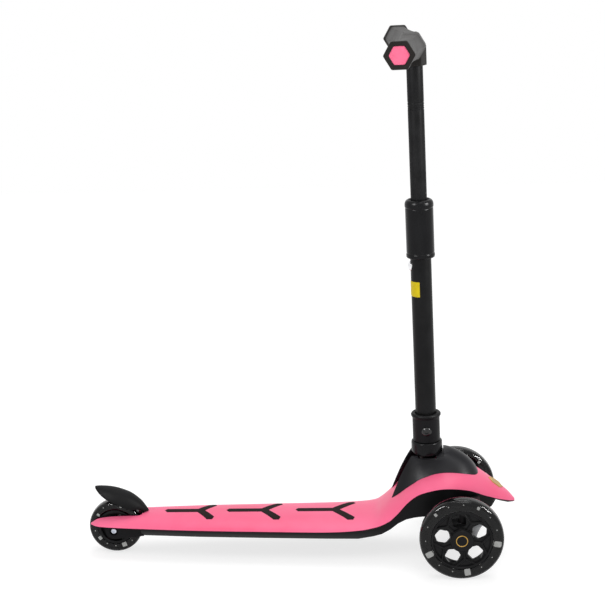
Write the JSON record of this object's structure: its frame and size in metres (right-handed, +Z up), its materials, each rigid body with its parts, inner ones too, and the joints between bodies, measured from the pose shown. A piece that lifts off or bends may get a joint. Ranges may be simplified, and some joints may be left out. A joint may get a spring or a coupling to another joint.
{
  "type": "kick scooter",
  "caption": "Lean-to-steer kids kick scooter: moulded deck, telescopic T-bar, lit polyurethane wheels and a press-down rear fender brake.",
  "frame": {"origin": "centre of the footprint of the bounding box, on the floor", "axes": "+X towards the front wheels, +Y to the rider's left, +Z up"},
  "size_m": [0.6338, 0.262, 0.7617],
  "materials": {
    "deck_shell": "satin",
    "inlay_rubber": "matte",
    "badge_gold": "satin",
    "black_plastic": "satin moulded",
    "gloss_black": "gloss",
    "tube_metal": "black anodised",
    "grip_rubber": "matte",
    "tyre": "smoky cast polyurethane",
    "chrome": "polished",
    "yellow_patch": "plain film",
    "bush_plastic": "matte",
    "black_steel": "blackened steel",
    "steel": "plain"
  },
  "bodies": {
    "deck": {"deck_shell": "deck_shell", "grip_inlay_rear": "inlay_rubber", "grip_inlay_middle": "inlay_rubber", "grip_inlay_front": "inlay_rubber", "nose_badge": "badge_gold", "deck_tray": "black_plastic", "front_cowl": "black_plastic", "tray_screw_rear": "steel", "tray_screw_front": "steel", "lean_pivot_pin": "steel", "rear_axle_bolt": "steel", "rear_axle_nut": "steel", "brake_hinge_pin": "steel", "kingpin_right": "steel", "kingpin_left": "steel"},
    "column": {"column_socket": "black_plastic", "column_collar": "gloss_black", "lean_bush_front": "bush_plastic", "lean_bush_rear": "bush_plastic", "centring_spring": "steel", "socket_bolt": "black_steel", "socket_nut": "steel", "lower_tube": "tube_metal", "lock_sleeve": "gloss_black", "tube_bush_top": "bush_plastic", "reflective_band": "yellow_patch"},
    "height_button": {"height_button": "chrome"},
    "handlebar": {"upper_tube": "tube_metal", "tube_bush_bottom": "bush_plastic", "handlebar_core": "grip_rubber", "crossbar": "steel", "grip_right": "grip_rubber", "grip_left": "grip_rubber", "grip_end_right": "deck_shell", "grip_end_left": "deck_shell"},
    "tie_rod": {"tie_rod": "black_plastic"},
    "rear_wheel": {"rear_tyre": "tyre", "rear_wheel_core": "black_plastic", "rear_bearing_right": "steel", "rear_bearing_left": "steel"},
    "brake": {"brake_fender": "black_plastic", "brake_return_spring": "steel"},
    "knuckle_right": {"knuckle_right": "black_plastic", "tie_rod_screw_right": "steel", "front_axle_bolt_right": "steel", "axle_magnet_right": "steel"},
    "front_wheel_right": {"front_tyre_right": "tyre", "front_wheel_core_right": "black_plastic", "front_bearing_inner_right": "steel", "front_bearing_outer_right": "steel", "hub_cap_right": "black_plastic"},
    "knuckle_left": {"knuckle_left": "black_plastic", "tie_rod_screw_left": "steel", "front_axle_bolt_left": "steel", "axle_magnet_left": "steel"},
    "front_wheel_left": {"front_tyre_left": "tyre", "front_wheel_core_left": "black_plastic", "front_bearing_inner_left": "steel", "front_bearing_outer_left": "steel", "hub_cap_left": "black_plastic"}
  },
  "joints": [
    {"name": "column_lean", "type": "hinge", "parent": "deck", "child": "column", "pos_m": [0.19036, 0, 0.1], "axis": [1, 0, 0], "range_deg": [-10, 10], "stiffness_Nm_per_rad": 40},
    {"name": "tie_rod_slide", "type": "slide", "parent": "deck", "child": "tie_rod", "axis": [0, 1, 0], "range_m": [-0.0065, 0.0065]},
    {"name": "steer_right", "type": "hinge", "parent": "deck", "child": "knuckle_right", "pos_m": [0.24856, -0.072, 0.06], "axis": [0, 0, 1], "range_deg": [-10.5, 10.5]},
    {"name": "steer_left", "type": "hinge", "parent": "deck", "child": "knuckle_left", "pos_m": [0.24856, 0.072, 0.06], "axis": [0, 0, 1], "range_deg": [-10.5, 10.5]},
    {"name": "front_wheel_spin_right", "type": "hinge", "parent": "knuckle_right", "child": "front_wheel_right", "pos_m": [0.23456, -0.1059, 0.06], "axis": [0, 1, 0], "continuous": true},
    {"name": "front_wheel_spin_left", "type": "hinge", "parent": "knuckle_left", "child": "front_wheel_left", "pos_m": [0.23456, 0.1059, 0.06], "axis": [0, 1, 0], "continuous": true},
    {"name": "rear_wheel_spin", "type": "hinge", "parent": "deck", "child": "rear_wheel", "pos_m": [-0.27714, 0, 0.04], "axis": [0, 1, 0], "continuous": true},
    {"name": "brake_press", "type": "hinge", "parent": "deck", "child": "brake", "pos_m": [-0.22844, 0, 0.049], "axis": [0, -1, 0], "range_deg": [0, 3], "stiffness_Nm_per_rad": 4},
    {"name": "height_slide", "type": "slide", "parent": "column", "child": "handlebar", "axis": [-0.022, 0, 0.9998], "range_m": [-0.15, 0]},
    {"name": "button_press", "type": "slide", "parent": "column", "child": "height_button", "axis": [0.9998, 0, 0.022], "range_m": [0, 0.0015], "stiffness_N_per_m": 800}
  ],
  "couplings": [
    {"joint": "tie_rod_slide", "follows": "column_lean", "m_per_rad": 0.036},
    {"joint": "steer_right", "follows": "column_lean", "ratio": -1},
    {"joint": "steer_left", "follows": "column_lean", "ratio": -1}
  ]
}
